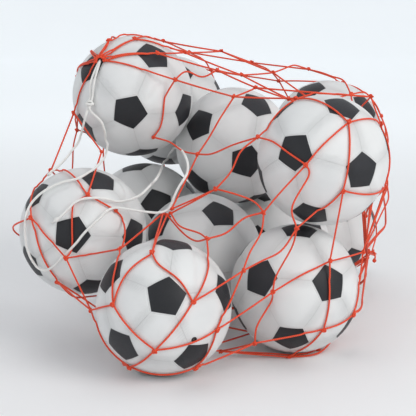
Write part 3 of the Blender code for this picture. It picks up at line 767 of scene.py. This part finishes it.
def make_balls(skin, black, cord_tree):
    frames = patch_frames()
    patch_centres = np.array([f[2] for f in frames])
    for name, (centre, radius) in BALLS.items():
        bm = bmesh.new()
        bmesh.ops.create_icosphere(bm, subdivisions=BALL_DETAIL, radius=1.0)
        mesh = bpy.data.meshes.new(f"ball_{name}_skin")
        bm.to_mesh(mesh)
        bm.free()
        ways = np.empty(len(mesh.vertices) * 3, np.float32)
        mesh.vertices.foreach_get("co", ways)
        ways = unit(ways.reshape(-1, 3).astype(float))
        deep = sunk(ways, name, radius)
        plug_low, plug_high = (np.array(corner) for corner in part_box(f"ball_{name}_valve"))
        valve_way = unit((plug_low + plug_high) / 2 - centre)
        from_valve = np.arccos(np.clip(ways @ valve_way, -1, 1)) * radius / MM
        deep += 0.7 * np.exp(-((from_valve / 7.0) ** 2))
        points = centre + ways * (radius - deep * MM)[:, None]
        reach = CORD_PRESS_WIDTH * 2.4 * MM
        for k, point in enumerate(points):
            _, _, gap = cord_tree.find(point)
            if gap < reach:
                points[k] -= ways[k] * CORD_PRESS * MM * math.exp(-((gap / MM / CORD_PRESS_WIDTH) ** 2))
        points[:, 2] = np.maximum(points[:, 2], 0.0002)
        lie = lie_of(name)
        own = ways @ lie.T
        mesh.vertices.foreach_set("co", points.astype(np.float32).ravel())
        rest = mesh.attributes.new("rest", "FLOAT_VECTOR", "POINT")
        rest.data.foreach_set("vector", (own * radius).astype(np.float32).ravel())
        loops = np.empty(len(mesh.loops), np.int32)
        mesh.loops.foreach_get("vertex_index", loops)
        corners = own[loops].reshape(-1, 3, 3)
        nearest = (unit(corners.mean(1)) @ patch_centres.T).argmax(1)
        axes = np.array(frames)[nearest]
        local = np.einsum("fij,fcj->fci", axes, corners)
        flat = local[..., :2] / local[..., 2:] * (radius / MM)
        patch = mesh.attributes.new("patch", "FLOAT_VECTOR", "CORNER")
        flat = np.concatenate([flat, np.zeros((*flat.shape[:2], 1))], axis=2)
        patch.data.foreach_set("vector", flat.astype(np.float32).ravel())
        add(f"ball_{name}_skin", mesh, skin, f"ball_{name}", "ball_rubber", f"ball_{name}_casing")
        lip = valve_lip(centre, valve_way, radius)
        plug = f"ball_{name}_valve"
        add(f"{plug}_lip", lip, black, f"ball_{name}", "valve_rubber", plug)


def valve_lip(centre, way, radius):
    """The valve's face: a soft lip round a dished disc with a needle hole."""
    profile = [  # radius and height over the ball's round, in mm
        (4.6, -1.6), (4.6, -0.5), (4.3, -0.15), (3.8, 0.05), (3.3, -0.1), (2.9, -0.45),
        (2.2, -0.5), (1.6, -0.35), (1.1, -0.4), (0.75, -0.8), (0.7, -3.5),
    ]
    turns = 28
    side = unit(np.cross(way, (0.3, 0.5, 0.8)))
    across = np.cross(way, side)
    points = []
    for r, h in profile:
        for k in range(turns):
            a = 2 * math.pi * k / turns
            out = (side * math.cos(a) + across * math.sin(a)) * r * MM
            points.append(centre + way * (radius + h * MM) + out)
    faces = []
    for row in range(len(profile) - 1):
        for k in range(turns):
            n = (k + 1) % turns
            here, there = row * turns, (row + 1) * turns
            faces.append((here + k, here + n, there + n, there + k))
    faces.append(tuple(range((len(profile) - 1) * turns, len(profile) * turns)))
    mesh = bpy.data.meshes.new("valve_lip")
    mesh.from_pydata([tuple(p) for p in points], [], faces)
    bm = bmesh.new()
    bm.from_mesh(mesh)
    bmesh.ops.recalc_face_normals(bm, faces=bm.faces[:])
    bm.to_mesh(mesh)
    bm.free()
    return mesh


# ---- Studio ---------------------------------------------------------------------------
def make_studio():
    """A pale floor that turns up into a backdrop, soft lights and the camera."""
    front, back, bend, top, wide = -6.0, 6.0, 1.5, 6.0, 9.0
    profile = [(front, 0.0), (-1.0, 0.0), (1.0, 0.0), (back, 0.0)]
    for k in range(1, 13):
        a = math.pi / 2 * k / 12
        profile.append((back + bend * math.sin(a), bend * (1 - math.cos(a))))
    profile.append((back + bend, top))
    points = [(x, y, z) for y, z in profile for x in (-wide, wide)]
    faces = [(2 * k, 2 * k + 1, 2 * k + 3, 2 * k + 2) for k in range(len(profile) - 1)]
    mesh = bpy.data.meshes.new("studio_floor")
    mesh.from_pydata(points, [], faces)
    for polygon in mesh.polygons:
        polygon.use_smooth = True
    mesh.materials.append(floor_paint())
    floor = bpy.data.objects.new("studio_floor", mesh)
    bpy.context.scene.collection.objects.link(floor)

    def light(name, place, aim, size, power, colour):
        data = bpy.data.lights.new(name, "AREA")
        data.shape = "DISK"
        data.size = size
        data.energy = power
        data.color = colour
        lamp = bpy.data.objects.new(name, data)
        bpy.context.scene.collection.objects.link(lamp)
        lamp.location = place
        lamp.rotation_euler = (Vector(aim) - Vector(place)).to_track_quat("-Z", "Y").to_euler()

    light("key", (2.1, -2.0, 2.0), (0, 0, 0.2), 2.2, 44, (1.0, 0.99, 0.97))
    light("top", (-0.2, 0.4, 3.0), (0, 0.1, 0.2), 2.6, 8, (0.97, 0.99, 1.0))
    light("fill", (-2.6, -2.2, 1.4), (0, 0, 0.2), 2.2, 10, (0.96, 0.98, 1.0))
    world = bpy.data.worlds.new("studio")
    bpy.context.scene.world = world
    world.use_nodes = True
    world.node_tree.nodes["Background"].inputs["Color"].default_value = (0.95, 0.97, 1.0, 1)
    world.node_tree.nodes["Background"].inputs["Strength"].default_value = 0.62

    data = bpy.data.cameras.new("camera")
    data.lens = LENS_MM
    data.sensor_width = SENSOR_MM
    data.clip_end = 50
    camera = bpy.data.objects.new("camera", data)
    bpy.context.scene.collection.objects.link(camera)
    camera.location = EYE
    camera.rotation_euler = (math.pi / 2 - EYE_DOWN, 0, 0)
    bpy.context.scene.camera = camera
    bpy.context.scene.view_settings.view_transform = "Standard"


def main():
    make_studio()
    # each cord's two colours are a lit and a shaded tone of one fibre: painted light and shade across
    # its strands
    cord = cord_fibre("net_fibre", (0.74, 0.035, 0.010, 1), (0.95, 0.105, 0.030, 1), 3, 11, False)
    string = cord_fibre("drawstring_fibre", (0.78, 0.775, 0.74, 1), (0.94, 0.935, 0.91, 1), 4, 9, True)
    make_drawstring(string)
    lines = make_net(cord)
    make_closed_end(cord)
    tree = kdtree.KDTree(sum(len(line) for line in lines))
    k = 0
    for line in lines:
        for point in line:
            tree.insert(point, k)
            k += 1
    tree.balance()
    make_balls(ball_skin(), valve_rubber(), tree)


main()
